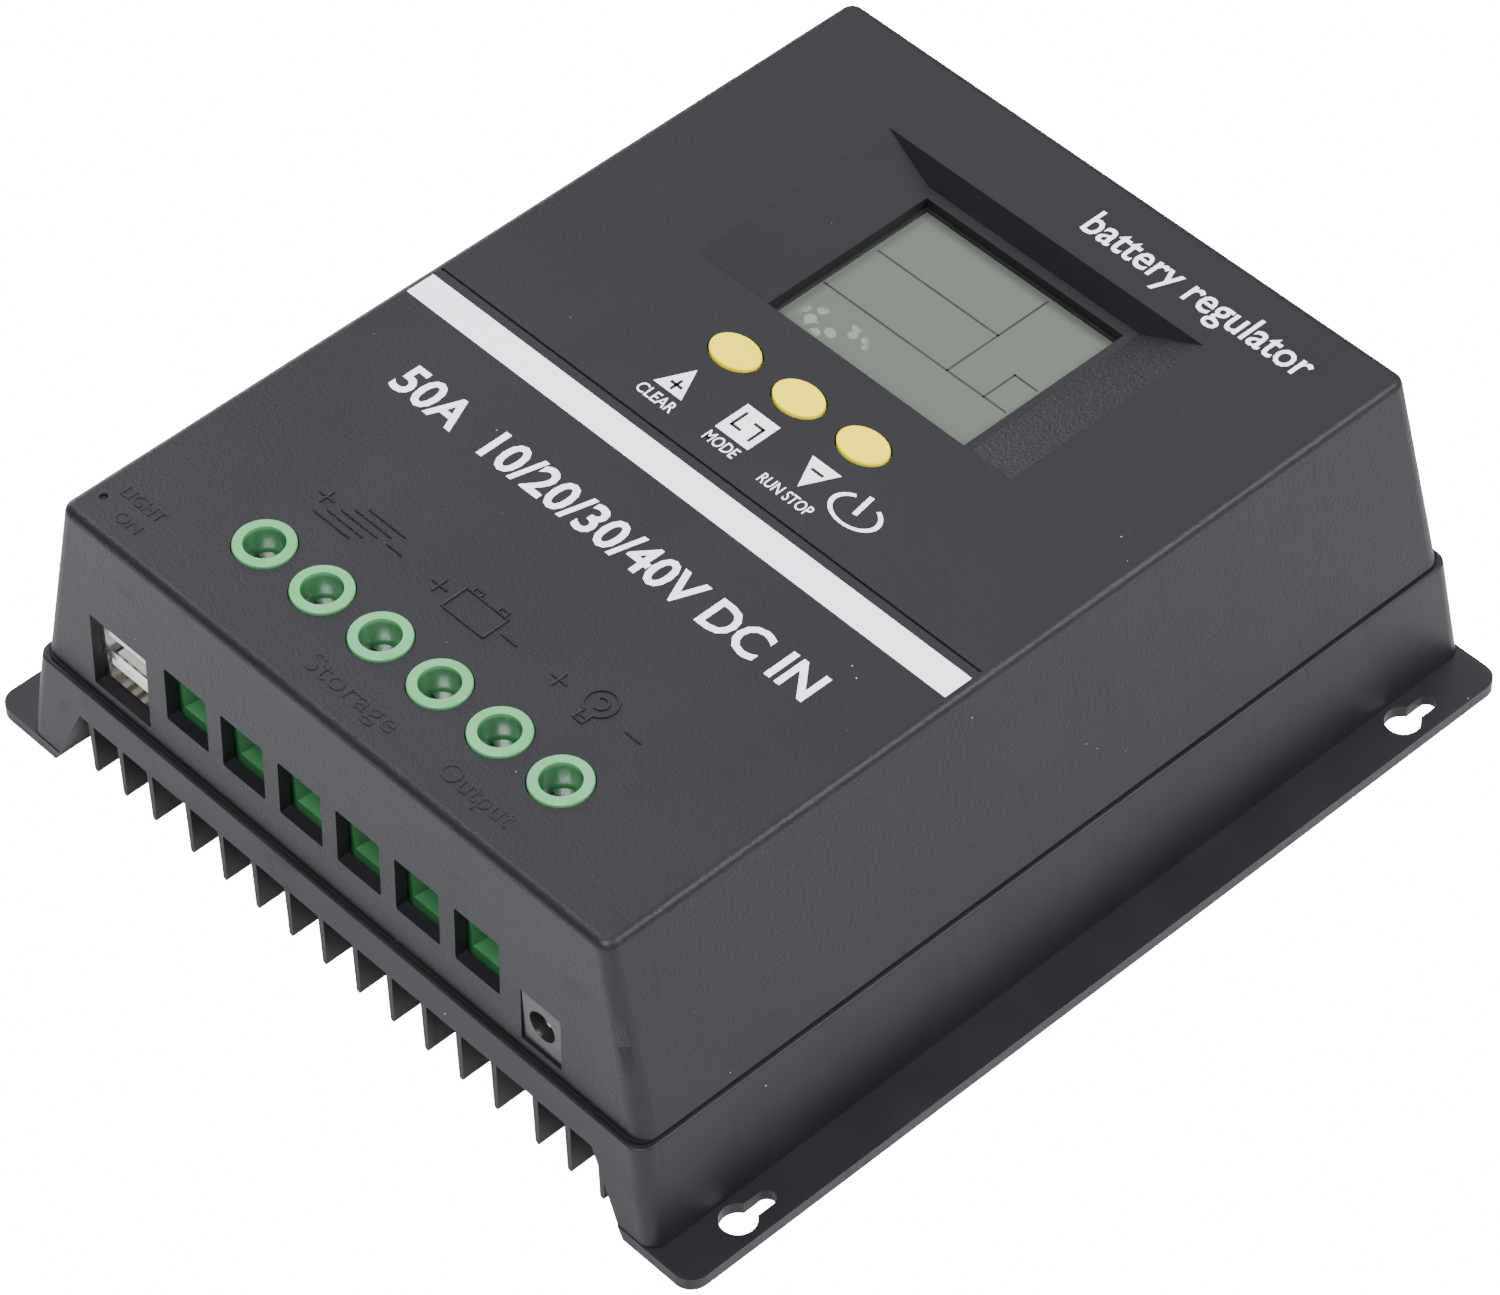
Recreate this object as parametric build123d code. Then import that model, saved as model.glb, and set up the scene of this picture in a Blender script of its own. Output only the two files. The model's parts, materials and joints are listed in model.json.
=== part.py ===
from build123d import *
import os

# Solar charge controller: cast base with cooling fins, moulded cover, six rising-clamp terminals,
# double USB socket, round power socket, display with three buttons, and the boards inside.
# Frame: millimetres, origin at the bottom centre of the mounting plane, +Z up, +X along the
# terminal edge from the USB socket to the power socket; the terminal edge faces -Y.

# ------------------------------------------------------------------ driving sizes: base casting
base_depth = 185.2  # Y, over the front and back lips
base_width = 150.1  # X, over the rim
rim_height = 23.0  # rim above the mounting plane
base_flare = 3.83  # how far each side wall spreads from the rim to the mounting plane
base_end_flare = 1.4  # the same spread of the front and back walls
base_corner = 3.0
rim_edge = 0.4
tray_wall = 4.05
tray_lip = 3.2
tray_depth = 3.5
tray_corner = 2.0
deck_thickness = 3.5
flange_reach = 12.2  # flange edge beyond the rim, each side
flange_thickness = 2.5
flange_corner = 3.5
leg_root = 11.25  # side wall thickness under the deck, from the rim line inwards
leg_foot = 3.65  # the same at the mounting plane
fin_root = 1.5
fin_tip = 1.1
fin_lift = 0.9  # fin tips above the mounting plane
fin_recess = 1.4  # fin ends behind the lips
fin_pitch = 8.5
fins_each_side = 5
screw_lane = 9.95  # wider gap where the cover screws go up
outer_fin_pitch = 7.7
outer_fins_each_side = 3
keyhole_head = 6.4
keyhole_slot = 3.3
keyhole_throw = 6.15
keyhole_edge = 4.75
keyhole_front = 13.3
keyhole_back = 18.1

# ------------------------------------------------------------------ driving sizes: cover and seal
top_height = 62.6
seal_height = 0.75
seal_width = 2.4
seal_step = 0.8  # seal edge inside the rim edge
cover_step_side = 0.65  # cover foot inside the rim edge
cover_step_end = 1.3
cover_lean_side = 8.4  # how far each wall leans in over the cover's height
cover_lean_front = 1.45
cover_lean_back = 2.8
cover_wall = 2.4
cover_corner_foot = 3.2
cover_corner_top = 2.6
cover_edge = 1.7
inner_corner = 0.8
cover_boss = 7.0
stripe_y = -16.4
stripe_width = 5.9
stripe_depth = 0.6
stripe_end = 1.5  # stripe ends inside the cover's top edge line
groove_offset = 1.7
groove_width = 0.5
groove_depth = 0.4

# ------------------------------------------------------------------ driving sizes: display
recess_width = 75.0
recess_front = 24.9
recess_back = 69.7
recess_depth = 4.3
recess_floor_width = 50.4
recess_floor_back = 67.3
window_width = 47.0
window_back = 65.2
recess_skin = 2.0
glass_width = 52.4
glass_front = 21.9
glass_back = 68.2
glass_depth = 7.0  # glass face below the cover's top
glass_thickness = 2.8
backlight_thickness = 3.0
backlight_inset = 3.0
bezel_sheet = 0.5
bezel_lift = 0.6  # bezel face above the glass
bezel_window_inset = 0.5
strip_width = 2.0
display_board_width = 69.0
display_board_front = -2.0
display_board_back = 71.0
board_thickness = 1.6
display_boss = 6.0
display_boss_x = 31.0
display_boss_front = 4.0
display_boss_back = 67.0

# ------------------------------------------------------------------ driving sizes: buttons
button_row = 13.0
button_pitch = 15.3
button_length = 10.3
button_width = 7.4
button_play = 0.3
button_rise = 0.5
button_travel = 0.5
button_rest_gap = 0.1
button_crown = 0.35
button_flange = 1.0
button_flange_thickness = 1.5
button_stem = 3.6
plunger_diameter = 3.4
plunger_play = 0.2
plunger_rise = 1.5
plunger_root = 1.3
switch_side = 7.2
switch_height = 3.5

# ------------------------------------------------------------------ driving sizes: main board
main_board_lift = 4.8  # board above the base deck
main_board_side_gap = 6.0
main_board_front_gap = 4.6
main_board_back_gap = 42.6
standoff_flats = 5.5
standoff_inset_x = 9.0
standoff_inset_back = 8.0
standoff_front_row = 43.0
standoff_mid_row = 2.0
screw_thread = 2.9
screw_play = 0.05
screw_head = 5.6
screw_head_height = 2.0
screw_slot_width = 0.8
screw_slot_depth = 0.9
board_hole = 3.3
screw_bite = 3.0
cover_screw_front = 42.6
cover_screw_back = 12.6
cover_screw_bite = 14.0
boss_play = 0.5

# ------------------------------------------------------------------ driving sizes: wire terminals
terminal_count = 6
terminal_pitch = 14.3
terminal_gap = 0.1
terminal_gap_front = 2.8  # block face behind the cover wall's foot
terminal_depth = 27.4
terminal_height = 28.7  # block above the board
terminal_screw_line = 15.7  # screw axis behind the block's face
collar_outside = 10.8
collar_bore = 7.2
collar_rise = 0.5
collar_play = 0.2
collar_edge = 0.35
wire_window_width = 10.6
wire_window_lift = 5.7  # sill above the board
wire_window_height = 11.7
wire_window_corner = 0.5
funnel_depth = 6.0
funnel_inset = 0.1
wire_bore_width = 7.0
wire_bore_lift = 7.1
wire_bore_height = 7.5
chamber_side = 1.45
chamber_front = 9.7
chamber_depth = 12.0
chamber_lift = 4.7
chamber_roof = 2.0
clamp_play = 0.3
clamp_floor_lift = 0.4
clamp_floor_thickness = 1.5
clamp_wall = 1.2
clamp_opening = 12.0
clamp_head_thickness = 3.5
clamp_thread = 4.9
clamp_thread_play = 0.07
clamp_travel = 4.0
terminal_head = 6.6
terminal_head_height = 3.0
terminal_head_edge = 0.3
terminal_head_lift = 0.05
terminal_slot_width = 1.1
terminal_slot_depth = 1.5
thread_end_gap = 0.7  # end of the thread above the busbar
shank_play = 0.3
busbar_side_gap = 0.7  # tongue to the cage's walls
busbar_thickness = 1.5
busbar_lift = 15.1
busbar_tip = 0.3
busbar_bend = 3.5
busbar_tail = 2.4  # solder tail below the board
busbar_play = 0.1

# ------------------------------------------------------------------ driving sizes: sockets and light
socket_gap = 2.95  # terminal row to the USB window
usb_window_width = 14.5
usb_window_height = 15.8
usb_play = 0.2
usb_front = 3.8
usb_depth = 17.5
usb_sheet = 0.4
usb_port_width = 12.5
usb_port_height = 5.2
usb_port_pitch = 7.0
usb_tongue_width = 11.2
usb_tongue_thickness = 1.84
usb_tongue_level = 2.9
usb_tongue_recess = 0.4
usb_back_thickness = 6.0
usb_contact_width = 1.0
usb_contact_thickness = 0.25
usb_contact_pitch = 2.4
usb_contact_recess = 1.2
jack_gap = 3.3  # terminal row to the power socket
jack_width = 9.0
jack_height = 10.9
jack_play = 0.2
jack_face_recess = 0.1
jack_depth = 14.0
jack_axis_lift = 5.9
jack_bore = 5.9
jack_bore_depth = 9.5
jack_pin = 2.0
jack_pin_recess = 1.4
jack_leaf_width = 1.6
jack_leaf_thickness = 0.35
jack_leaf_length = 6.0
led_inset_x = 3.7
led_front = 9.1
led_hole = 1.5
pipe_play = 0.05
pipe_top_drop = 0.5
pipe_body = 2.2
pipe_foot = 4.0
pipe_foot_height = 3.5
pipe_pocket = 2.8
pipe_pocket_height = 1.6
led_length = 1.6
led_width = 0.9
led_height = 0.7

# ------------------------------------------------------------------ driving sizes: power parts
pad_thickness = 0.5
pad_width = 84.0
pad_depth = 18.0
mosfet_row = 26.8  # transistor bodies' back edge inside the base's back face
mosfets_each_side = 3
mosfet_pitch = 13.6
mosfet_width = 10.0
mosfet_body_depth = 9.0
mosfet_body_height = 4.5
mosfet_tab_depth = 6.4
mosfet_tab_height = 1.3
lead_pitch = 2.54
lead_width = 0.9
lead_thickness = 0.5
lead_lift = 2.4
lead_hole = 1.4
lead_inset = 3.5
lead_tail = 1.0
clamp_bar_width = 6.0
clamp_bar_height = 2.0
clamp_bar_margin = 1.5
capacitor_diameter = 18.0
capacitor_height = 25.0
capacitor_gap = 28.0  # row of cans behind the terminal blocks
capacitor_pitch = 21.0
capacitor_shift = -20.0
capacitor_edge = 1.2
coil_x = 34.0
coil_gap = 24.0  # coil behind the front pair of cover screws
coil_outside = 24.0
coil_inside = 10.0
coil_height = 10.0
coil_turns = 14
coil_wire = 1.3
coil_lift = 1.6
coil_play = 0.1
shunt_row = -54.5
shunt_span = 10.0
shunt_width = 3.0
shunt_sheet = 1.0
shunt_rise = 3.2
shunt_x = 21.0
fuse_x = 56.0
fuse_y = -20.0
fuse_length = 20.0
fuse_diameter = 5.2
fuse_axis_lift = 5.6
fuse_clip_depth = 5.0
fuse_clip_sheet = 0.7
chip_side = 12.0
chip_height = 1.6
chip_x = 0.0
chip_y = 18.0
link_x = -26.0
link_y = 8.0
link_pins = 8
link_pitch = 2.54
link_socket_width = 3.0
link_socket_height = 8.5
link_socket_bore = 1.0
link_carrier_height = 2.5
link_pin_side = 0.64
link_pin_reach = 5.0
buzzer_diameter = 12.0
buzzer_height = 7.5
buzzer_x = 46.0
buzzer_y = 12.0
buzzer_port = 2.0

# ------------------------------------------------------------------ levels and lines worked out
front = -base_depth / 2
back = base_depth / 2
rim_half = base_width / 2
deck_top = rim_height - tray_depth
deck_bottom = deck_top - deck_thickness
cover_foot = rim_height + seal_height
cover_rise = top_height - cover_foot
cover_ceiling = top_height - cover_wall
board_bottom = deck_top + main_board_lift
board_top = board_bottom + board_thickness
board_front = front + main_board_front_gap
board_back = back - main_board_back_gap
board_half = rim_half - main_board_side_gap
terminal_top = board_top + terminal_height
wire_window_sill = board_top + wire_window_lift
wire_window_head = wire_window_sill + wire_window_height
wire_bore_sill = board_top + wire_bore_lift
wire_bore_head = wire_bore_sill + wire_bore_height
busbar_level = board_top + busbar_lift
usb_window_sill = board_top - usb_play
usb_window_head = usb_window_sill + usb_window_height
jack_top = board_top + jack_height
jack_axis = board_top + jack_axis_lift
glass_top = top_height - glass_depth
glass_bottom = glass_top - glass_thickness
display_top = glass_bottom - backlight_thickness
display_bottom = display_top - board_thickness
recess_floor = top_height - recess_depth
terminal_face = front + cover_wall + terminal_gap_front
terminal_rear = terminal_face + terminal_depth
screw_line = terminal_face + terminal_screw_line
capacitor_row = terminal_rear + capacitor_gap
coil_y = front + cover_screw_front + coil_gap
terminal_xs = [terminal_pitch * (n - (terminal_count - 1) / 2) for n in range(terminal_count)]
button_xs = [-button_pitch, 0.0, button_pitch]
side_names = ["left", "middle", "right"]
screw_lane_x = fin_pitch * (fins_each_side - 0.5) + screw_lane / 2
cover_screw_spots = [(side * screw_lane_x, y) for side in (-1, 1)
                     for y in (front + cover_screw_front, back - cover_screw_back)]
standoff_rows = [front + standoff_front_row, standoff_mid_row, board_back - standoff_inset_back]
standoff_spots = [(side * (board_half - standoff_inset_x), y) for side in (-1, 1) for y in standoff_rows]
display_spots = [(side * display_boss_x, y) for side in (-1, 1)
                 for y in (display_boss_front, display_boss_back)]
terminal_half = terminal_pitch * terminal_count / 2
usb_x = -(terminal_half + socket_gap + usb_window_width / 2)
jack_x = terminal_half + jack_gap + jack_width / 2
led_x = -(rim_half - cover_step_side - cover_lean_side - led_inset_x)
led_y = front + led_front
mosfet_xs = [mosfet_pitch * (n - mosfets_each_side + 0.5) for n in range(2 * mosfets_each_side)]
clamp_screw_xs = [-2 * mosfet_pitch, 0.0, 2 * mosfet_pitch]
mosfet_front = back - mosfet_row - mosfet_body_depth
lead_spots = [(x + k * lead_pitch, board_back - lead_inset) for x in mosfet_xs for k in (-1, 0, 1)]


# ------------------------------------------------------------------ shapes used by several pieces
def block(x0, x1, y0, y1, z0, z1):
    """A box between two corners."""
    middle = Pos((x0 + x1) / 2, (y0 + y1) / 2, (z0 + z1) / 2)
    return middle * Box(x1 - x0, y1 - y0, z1 - z0)


def post(x, y, z0, z1, diameter):
    """An upright cylinder."""
    return Pos(x, y, (z0 + z1) / 2) * Cylinder(diameter / 2, z1 - z0)


def rounded_face(x0, x1, y0, y1, z, radius):
    """A level rounded rectangle, as a section for a loft or an extrusion."""
    place = Plane.XY.offset(z) * Pos((x0 + x1) / 2, (y0 + y1) / 2)
    return place * RectangleRounded(x1 - x0, y1 - y0, radius)


def rounded_block(x0, x1, y0, y1, z0, z1, radius):
    """A box with its four upright edges rounded."""
    return extrude(rounded_face(x0, x1, y0, y1, z0, radius), z1 - z0)


def plain_face(x0, x1, y0, y1, z):
    """A level rectangle."""
    return Plane.XY.offset(z) * Pos((x0 + x1) / 2, (y0 + y1) / 2) * Rectangle(x1 - x0, y1 - y0)


def slotted_screw(x, y, seat, length, thread, head, head_height, slot_width, slot_depth):
    """A screw standing head up on the level seat."""
    shape = post(x, y, seat - length, seat, thread) + post(x, y, seat, seat + head_height, head)
    top = seat + head_height
    slot = block(x - head, x + head, y - slot_width / 2, y + slot_width / 2, top - slot_depth, top + slot_depth)
    return shape - slot


def top_rim_edges(shape):
    """The edges round the highest face."""
    return shape.faces().sort_by(Axis.Z)[-1].edges()


def save(name, pieces):
    """Write one node from a list of separate solids."""
    solids = [solid for piece in pieces for solid in piece.solids()]
    export_step(solids[0] if len(solids) == 1 else Compound(solids), f"parts/{name}.step")


# ------------------------------------------------------------------ base casting
def fin(x):
    """One cooling fin: tapered, with a round tip, hanging from the deck."""
    root = fin_root / 2
    tip = fin_tip / 2
    blade = Polyline((x - tip, fin_lift + tip), (x - root, deck_bottom + root),
                     (x + root, deck_bottom + root), (x + tip, fin_lift + tip))
    nose = ThreePointArc((x - tip, fin_lift + tip), (x, fin_lift), (x + tip, fin_lift + tip))
    section = make_face(blade + nose)
    half = base_depth / 2 - fin_recess
    return extrude(Plane.XZ.offset(-half) * section, 2 * half)


def fin_places():
    """Fin centre lines: a middle group, the screw lanes, and an outer group on each side."""
    inner = [fin_pitch * (n + 0.5) for n in range(fins_each_side)]
    outer = [inner[-1] + screw_lane + outer_fin_pitch * n for n in range(outer_fins_each_side)]
    return [side * x for x in inner + outer for side in (-1, 1)]


def keyhole(x, y):
    """A hanging hole through a flange: round head, narrow slot towards the back."""
    radius = keyhole_slot / 2
    head = post(x, y, -1, flange_thickness + 1, keyhole_head)
    neck = block(x - radius, x + radius, y, y + keyhole_throw, -1, flange_thickness + 1)
    end = post(x, y + keyhole_throw, -1, flange_thickness + 1, keyhole_slot)
    return head + neck + end


def base_heatsink():
    foot = rim_half + base_flare
    lip = front - base_end_flare
    walls = loft([rounded_face(-foot, foot, lip, -lip, 0, base_corner),
                  rounded_face(-rim_half, rim_half, front, back, rim_height, base_corner)], ruled=True)
    walls = fillet(top_rim_edges(walls), rim_edge)
    reach = rim_half + flange_reach
    flange = rounded_block(-reach, reach, lip, -lip, 0, flange_thickness, flange_corner)
    low = rim_half - leg_foot
    high = rim_half - leg_root
    tunnel_section = make_face(Polyline((-low, 0), (-high, deck_bottom), (high, deck_bottom), (low, 0),
                                        (low, -1), (-low, -1), (-low, 0)))
    tunnel = extrude(Plane.XZ.offset(-base_depth) * tunnel_section, 2 * base_depth)
    inside = rim_half - tray_wall
    tray = rounded_block(-inside, inside, front + tray_lip, back - tray_lip, deck_top, rim_height + 1,
                         tray_corner)
    shape = walls + flange - tunnel - tray
    for x in fin_places():
        shape += fin(x)
    hole_x = reach - keyhole_edge
    for side in (-1, 1):
        shape -= keyhole(side * hole_x, front + keyhole_front)
        shape -= keyhole(side * hole_x, back - keyhole_back)
    for x, y in cover_screw_spots:
        shape -= post(x, y, deck_bottom - 1, deck_top + 1, screw_thread + 2 * boss_play)
    for x, y in standoff_spots:
        shape -= post(x, y, deck_top - screw_bite, deck_top + 1, screw_thread + 2 * screw_play)
    for x in clamp_screw_xs:
        shape -= post(x, clamp_bar_line(), deck_top - screw_bite, deck_top + 1, screw_thread + 2 * screw_play)
    return shape


# ------------------------------------------------------------------ cover and seal
def cover_sides(z, inset):
    """The cover's outline at a level, moved in by a wall thickness: x half, front y and back y."""
    share = (z - cover_foot) / cover_rise
    half = rim_half - cover_step_side - cover_lean_side * share - inset
    y0 = front + cover_step_end + cover_lean_front * share + inset
    y1 = back - cover_step_end - cover_lean_back * share - inset
    return half, y0, y1


def cover_section(z, inset, radius):
    half, y0, y1 = cover_sides(z, inset)
    return rounded_face(-half, half, y0, y1, z, radius)


def oval(x, y, z0, z1, length, width):
    """An upright oval bar, longer across the controller."""
    return extrude(Plane.XY.offset(z0) * Pos(x, y) * Ellipse(length / 2, width / 2), z1 - z0)


def recess_cut():
    """Sloping display recess with the upright window below it."""
    top_half = recess_width / 2
    floor_half = recess_floor_width / 2
    side_slope = (top_half - floor_half) / recess_depth
    back_slope = (recess_back - recess_floor_back) / recess_depth
    over = 1.0
    bowl = loft([plain_face(-floor_half, floor_half, recess_front, recess_floor_back, recess_floor),
                 plain_face(-top_half - side_slope * over, top_half + side_slope * over, recess_front,
                            recess_back + back_slope * over, top_height + over)], ruled=True)
    half = window_width / 2
    window = block(-half, half, recess_front, window_back, display_bottom, recess_floor + over)
    return bowl + window


def recess_backing():
    """Cover material that carries the recess on its inside."""
    floor_half = recess_floor_width / 2
    top_half = recess_width / 2
    low = recess_floor - recess_skin
    return loft([plain_face(-floor_half, floor_half, recess_front - recess_skin,
                            recess_floor_back + recess_skin, low),
                 plain_face(-top_half, top_half, recess_front - recess_skin,
                            recess_back + recess_skin, cover_ceiling + 0.5)], ruled=True)


def top_cover():
    outer = loft([cover_section(cover_foot, 0, cover_corner_foot),
                  cover_section(top_height, 0, cover_corner_top)], ruled=True)
    outer = fillet(top_rim_edges(outer), cover_edge)
    under = cover_foot - 1
    inner = loft([cover_section(under, cover_wall, inner_corner),
                  cover_section(cover_ceiling, cover_wall, inner_corner)], ruled=True)
    shape = outer - inner
    shape += recess_backing()
    for x, y in cover_screw_spots:
        shape += post(x, y, deck_top, cover_ceiling + 1, cover_boss)
    for x, y in display_spots:
        shape += post(x, y, display_top, cover_ceiling + 1, display_boss)
    shape -= recess_cut()
    for x, y in cover_screw_spots:
        shape -= post(x, y, deck_top - 1, deck_top + cover_screw_bite + 1, screw_thread + 2 * screw_play)
    for x, y in display_spots:
        shape -= post(x, y, display_top - 1, display_top + screw_bite + 1, screw_thread + 2 * screw_play)
    inner_front = cover_sides(cover_ceiling, cover_wall)[1]
    for x in terminal_xs:
        half = wire_window_width / 2
        hole = block(x - half, x + half, front - 1, inner_front, wire_window_sill, wire_window_head)
        shape -= fillet(hole.edges().filter_by(Axis.Y), wire_window_corner)
        shape -= post(x, screw_line, cover_ceiling - 1, top_height + 1, collar_outside + 2 * collar_play)
    half = usb_window_width / 2
    shape -= block(usb_x - half, usb_x + half, front - 1, inner_front, usb_window_sill, usb_window_head)
    half = jack_width / 2 + jack_play
    shape -= block(jack_x - half, jack_x + half, front - 1, inner_front, board_top - jack_play,
                   jack_top + jack_play)
    shape -= post(led_x, led_y, cover_ceiling - 1, top_height + 1, led_hole)
    for x in button_xs:
        shape -= oval(x, button_row, cover_ceiling - 1, top_height + 1, button_length + 2 * button_play,
                      button_width + 2 * button_play)
    shape -= stripe_body()
    groove_y = stripe_y + stripe_width + groove_offset
    half = stripe_half()
    shape -= block(-half, half, groove_y, groove_y + groove_width, top_height - groove_depth, top_height + 1)
    return shape


def stripe_half():
    return cover_sides(top_height, 0)[0] - stripe_end


def stripe_body():
    half = stripe_half()
    return block(-half, half, stripe_y, stripe_y + stripe_width, top_height - stripe_depth, top_height)


def seal_gasket():
    half = rim_half - seal_step
    y0 = front + seal_step
    outer = rounded_block(-half, half, y0, -y0, rim_height, cover_foot, base_corner)
    half -= seal_width
    y0 += seal_width
    return outer - rounded_block(-half, half, y0, -y0, rim_height - 1, cover_foot + 1, inner_corner)


def cover_screw(x, y):
    """A screw that comes up through the deck into a cover boss, head under the deck."""
    screw = slotted_screw(x, y, 0, deck_thickness + cover_screw_bite, screw_thread, screw_head,
                          screw_head_height, screw_slot_width, screw_slot_depth)
    turned = mirror(screw, Plane.XY)
    return Pos(0, 0, deck_bottom) * turned


# ------------------------------------------------------------------ display group
def lcd_glass():
    half = glass_width / 2
    return block(-half, half, glass_front, glass_back, glass_bottom, glass_top)


def lcd_bezel():
    """Sheet frame round the glass and the backlight, standing on the display board."""
    inner = glass_width / 2 + screw_play
    y0 = glass_front - screw_play
    y1 = glass_back + screw_play
    sheet = bezel_sheet
    top = glass_top + bezel_lift
    outer = block(-inner - sheet, inner + sheet, y0 - sheet, y1 + sheet, display_top, top)
    hollow = block(-inner, inner, y0, y1, display_top - 1, top - sheet)
    half = window_width / 2 - bezel_window_inset
    window = block(-half, half, recess_front + bezel_window_inset, window_back - bezel_window_inset,
                   display_top, top + 1)
    return outer - hollow - window


def backlight_panel():
    half = glass_width / 2 - 0.2
    return block(-half, half, glass_front + backlight_inset, glass_back - 0.2, display_top, glass_bottom)


def lcd_contact_strip():
    """Rubber strip that joins the glass to the pads of the display board."""
    half = glass_width / 2 - backlight_inset
    y0 = glass_front + 0.4
    return block(-half, half, y0, y0 + strip_width, display_top, glass_bottom)


def display_board():
    half = display_board_width / 2
    shape = block(-half, half, display_board_front, display_board_back, display_bottom, display_top)
    for x, y in display_spots:
        shape -= post(x, y, display_bottom - 1, display_top + 1, board_hole)
    for place in link_places():
        shape -= post(place[0], place[1], display_bottom - 1, display_top + 1, link_socket_bore)
    return shape


def display_board_screw(x, y):
    screw = slotted_screw(x, y, 0, board_thickness + screw_bite, screw_thread, screw_head,
                          screw_head_height, screw_slot_width, screw_slot_depth)
    return Pos(0, 0, display_bottom) * mirror(screw, Plane.XY)


# ------------------------------------------------------------------ buttons
flange_top = cover_ceiling - button_rest_gap
flange_bottom = flange_top - button_flange_thickness
switch_top = display_top + switch_height
plunger_top = switch_top + plunger_rise


def button_cap(x):
    """Oval cap with a flange under the cover and a stem down to its switch."""
    cap = oval(x, button_row, flange_top, top_height + button_rise, button_length, button_width)
    cap = fillet(top_rim_edges(cap), button_crown)
    flange = oval(x, button_row, flange_bottom, flange_top, button_length + 2 * button_flange,
                  button_width + 2 * button_flange)
    stem = post(x, button_row, plunger_top, flange_bottom, button_stem)
    return cap + flange + stem


def switch_plunger(x):
    return post(x, button_row, switch_top - plunger_root, plunger_top, plunger_diameter)


def tact_switch(x):
    half = switch_side / 2
    body = block(x - half, x + half, button_row - half, button_row + half, display_top, switch_top)
    floor = switch_top - plunger_root - button_travel - plunger_play
    well = post(x, button_row, floor, switch_top + 1, plunger_diameter + 2 * plunger_play)
    return body - well


# ------------------------------------------------------------------ main board and its fixings
def main_board():
    shape = block(-board_half, board_half, board_front, board_back, board_bottom, board_top)
    under = board_bottom - 1
    over = board_top + 1
    for x, y in standoff_spots:
        shape -= post(x, y, under, over, board_hole)
    for x, y in cover_screw_spots:
        shape -= post(x, y, under, over, cover_boss + 2 * boss_play)
    for x, y in lead_spots:
        shape -= post(x, y, under, over, lead_hole)
    for x in terminal_xs:
        shape -= busbar_tail_shape(x, busbar_play)
    return shape


def board_standoff(x, y):
    """Hexagonal spacer with a stud in the deck and a threaded bore for the board screw."""
    hexagon = RegularPolygon(standoff_flats / 2, 6, major_radius=False)
    body = extrude(Plane.XY.offset(deck_top) * Pos(x, y) * hexagon, main_board_lift)
    stud = post(x, y, deck_top - screw_bite, deck_top, screw_thread)
    bore = post(x, y, board_bottom - screw_bite - screw_play, board_bottom + 1, screw_thread + 2 * screw_play)
    return body + stud - bore


def board_screw(x, y):
    return slotted_screw(x, y, board_top, board_thickness + screw_bite, screw_thread, screw_head,
                         screw_head_height, screw_slot_width, screw_slot_depth)


# ------------------------------------------------------------------ wire terminals
chamber_y0 = terminal_face + chamber_front
chamber_y1 = chamber_y0 + chamber_depth
chamber_half = terminal_pitch / 2 - chamber_side
chamber_floor = board_top + chamber_lift
chamber_top = terminal_top - chamber_roof
collar_top = top_height + collar_rise
busbar_width = 2 * (chamber_half - clamp_play - clamp_wall - busbar_side_gap)
busbar_rear = chamber_y1 + busbar_bend
busbar_top = busbar_level + busbar_thickness


def busbar_tongue_shape(x, grow):
    half = busbar_width / 2 + grow
    return block(x - half, x + half, chamber_y0 + busbar_tip - grow, busbar_rear + grow, busbar_level - grow,
                 busbar_top + grow)


def busbar_tail_shape(x, grow):
    half = busbar_width / 2 + grow
    return block(x - half, x + half, busbar_rear - busbar_thickness - grow, busbar_rear + grow,
                 board_bottom - busbar_tail, busbar_top + grow)


def terminal_busbar(x):
    """Fixed tongue over the wire, bent down into the board behind the clamp."""
    return busbar_tongue_shape(x, 0) + busbar_tail_shape(x, 0)


def terminal_housing(x):
    """Insulating block with a wire funnel, a clamp chamber and a collar that reaches the cover's top."""
    half = (terminal_pitch - terminal_gap) / 2
    body = block(x - half, x + half, terminal_face, terminal_rear, board_top, terminal_top)
    collar = post(x, screw_line, terminal_top, collar_top, collar_outside)
    collar = fillet(top_rim_edges(collar), collar_edge)
    shape = body + collar
    shape -= post(x, screw_line, terminal_top, collar_top + 1, collar_bore)
    shape -= post(x, screw_line, chamber_top - 1, terminal_top + 1, clamp_thread + 2 * shank_play)
    shape -= block(x - chamber_half, x + chamber_half, chamber_y0, chamber_y1, chamber_floor, chamber_top)
    shape -= wire_funnel(x)
    shape -= busbar_tongue_shape(x, busbar_play)
    shape -= busbar_tail_shape(x, busbar_play)
    return shape


def wire_funnel(x):
    """Tapered mouth behind the cover's window, then a straight passage to the chamber."""
    mouth = wire_window_width / 2 - funnel_inset
    throat = wire_bore_width / 2
    deep = terminal_face + funnel_depth
    lip = 0.01
    mouth_z = (wire_window_sill + wire_window_head) / 2
    throat_z = (wire_bore_sill + wire_bore_head) / 2
    mouth_height = wire_window_head - wire_window_sill - 2 * funnel_inset
    throat_height = wire_bore_head - wire_bore_sill
    outer = Plane.XZ.offset(-terminal_face + lip) * Pos(x, mouth_z) * Rectangle(2 * mouth, mouth_height)
    inner = Plane.XZ.offset(-deep) * Pos(x, throat_z) * Rectangle(2 * throat, throat_height)
    passage = block(x - throat, x + throat, deep - lip, chamber_y0 + 1, wire_bore_sill, wire_bore_head)
    return loft([outer, inner], ruled=True) + passage


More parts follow.
